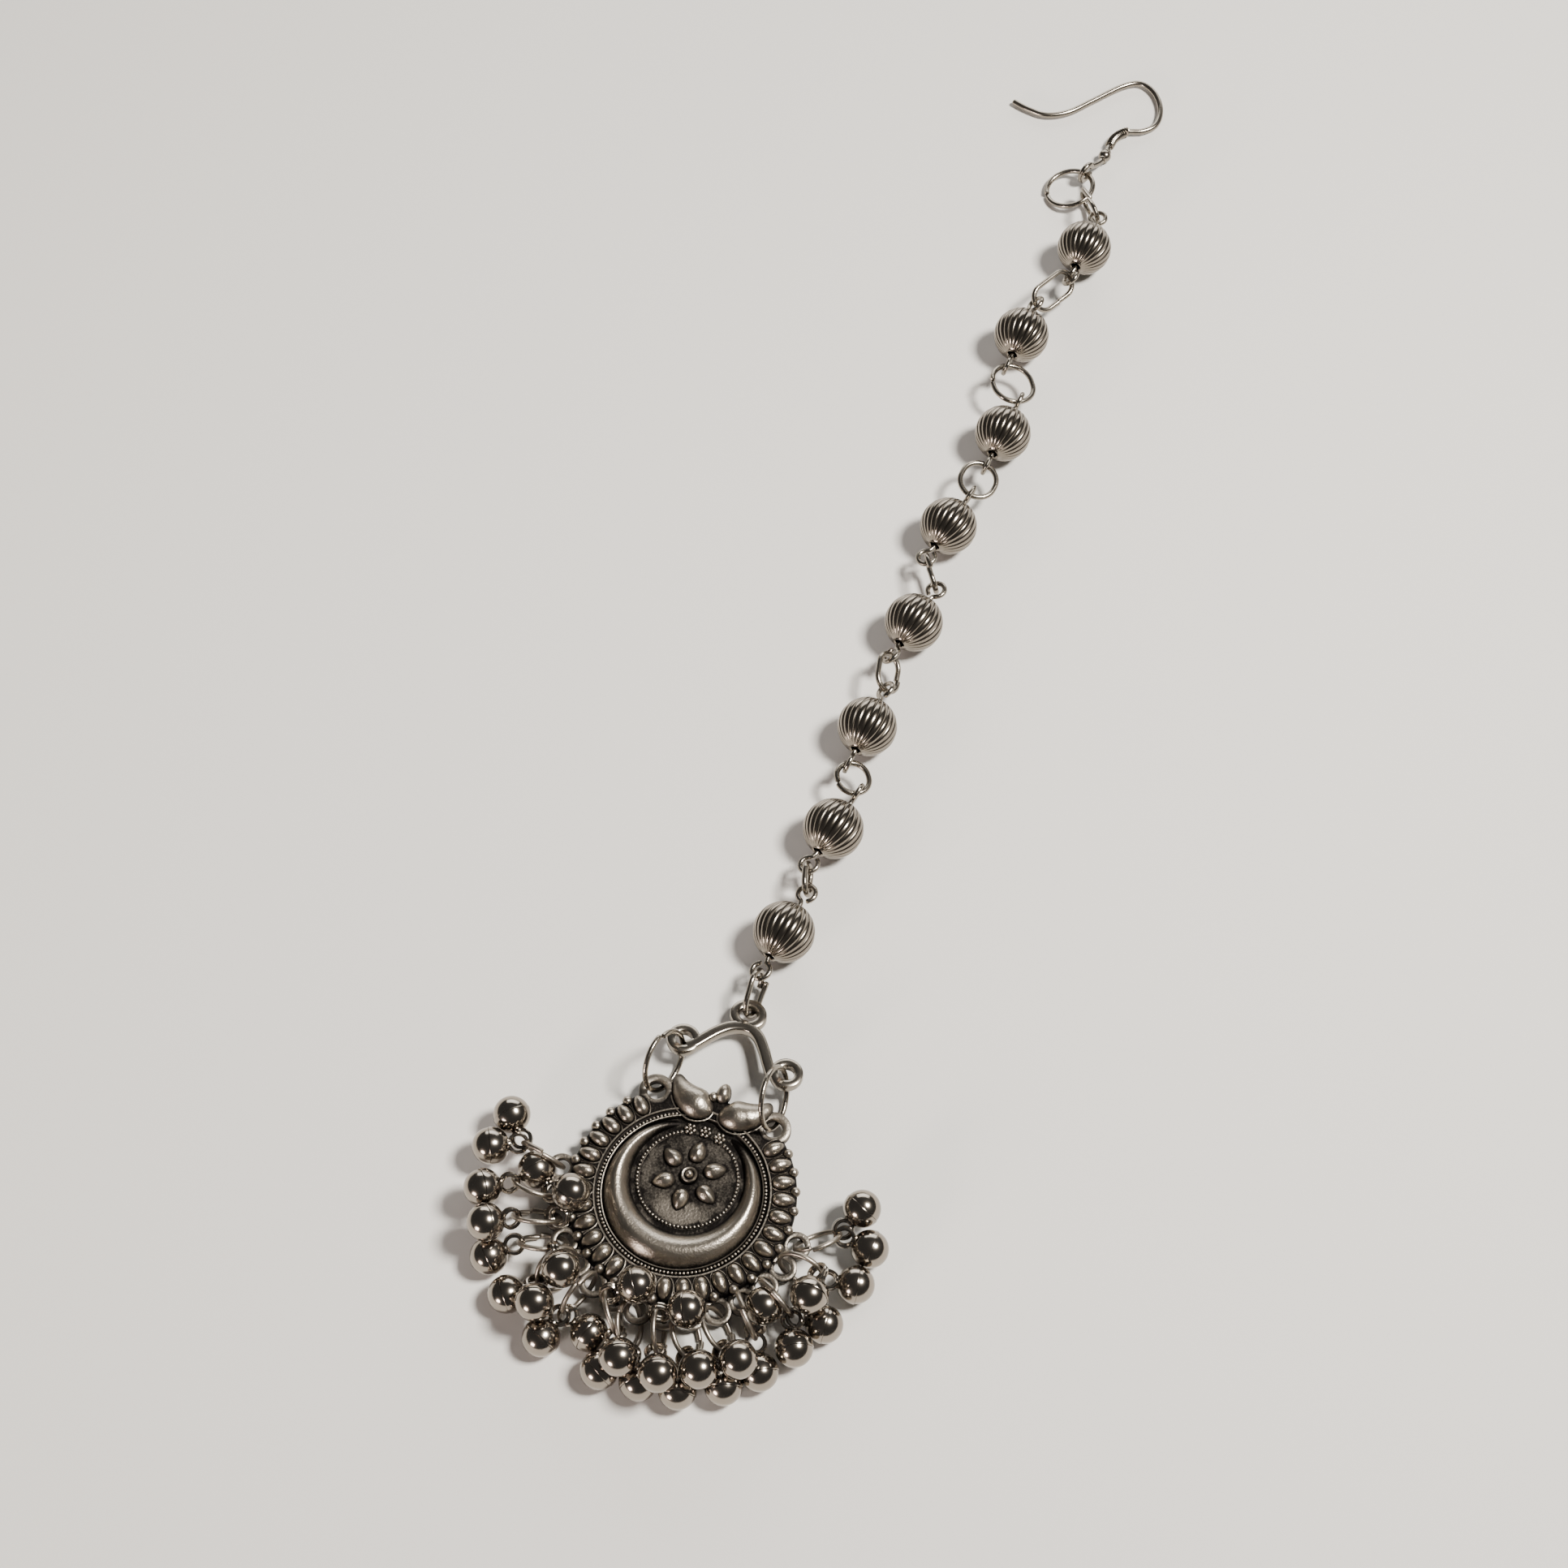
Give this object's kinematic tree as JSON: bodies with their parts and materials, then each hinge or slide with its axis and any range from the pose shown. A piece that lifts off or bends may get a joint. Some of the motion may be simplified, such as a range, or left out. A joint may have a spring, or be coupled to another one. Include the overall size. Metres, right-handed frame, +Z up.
{
  "type": "maang tikka",
  "caption": "Head ornament: a round cast pendant fringed with small bells hangs from an arched hanger and a bead chain that ends in a wire hook for the hair.",
  "frame": {"origin": "middle of the footprint of the piece as it lies, on the surface under it", "axes": "+Y along the chain from the pendant to the hook, +X to the right of the pendant's face, +Z up out of the face"},
  "size_m": [0.0458, 0.1948, 0.0079],
  "materials": {
    "cast_silver": "cast silver, oxidised dark in the hollows and rubbed bright on the tops",
    "bell_silver": "pressed silver bells, oxidised and polished",
    "bead_silver": "fluted silver beads, oxidised and polished",
    "silver_wire": "drawn silver wire, lightly oxidised, satin"
  },
  "bodies": {
    "root": {"pendant": "cast_silver", "bell_drop_01": "bell_silver", "bell_drop_02": "bell_silver", "bell_drop_03": "bell_silver", "bell_drop_04": "bell_silver", "bell_drop_05": "bell_silver", "bell_drop_06": "bell_silver", "bell_drop_07": "bell_silver", "bell_drop_08": "bell_silver", "bell_drop_09": "bell_silver", "bell_drop_10": "bell_silver", "bell_drop_11": "bell_silver", "bell_drop_12": "bell_silver", "bell_drop_13": "bell_silver", "bell_drop_14": "bell_silver", "bell_drop_15": "bell_silver", "hanger": "cast_silver", "side_ring_left": "silver_wire", "side_ring_right": "silver_wire", "hanger_link": "silver_wire", "bead_1": "bead_silver", "eye_pin_1": "silver_wire", "bead_2": "bead_silver", "eye_pin_2": "silver_wire", "bead_3": "bead_silver", "eye_pin_3": "silver_wire", "bead_4": "bead_silver", "eye_pin_4": "silver_wire", "bead_5": "bead_silver", "eye_pin_5": "silver_wire", "bead_6": "bead_silver", "eye_pin_6": "silver_wire", "bead_7": "bead_silver", "eye_pin_7": "silver_wire", "bead_8": "bead_silver", "eye_pin_8": "silver_wire", "chain_ring_1": "silver_wire", "chain_ring_2": "silver_wire", "chain_ring_3": "silver_wire", "chain_ring_4": "silver_wire", "chain_ring_5": "silver_wire", "chain_ring_6": "silver_wire", "chain_ring_7": "silver_wire", "chain_ring_8": "silver_wire", "hook_ring": "silver_wire", "ear_hook": "silver_wire"}
  },
  "joints": []
}
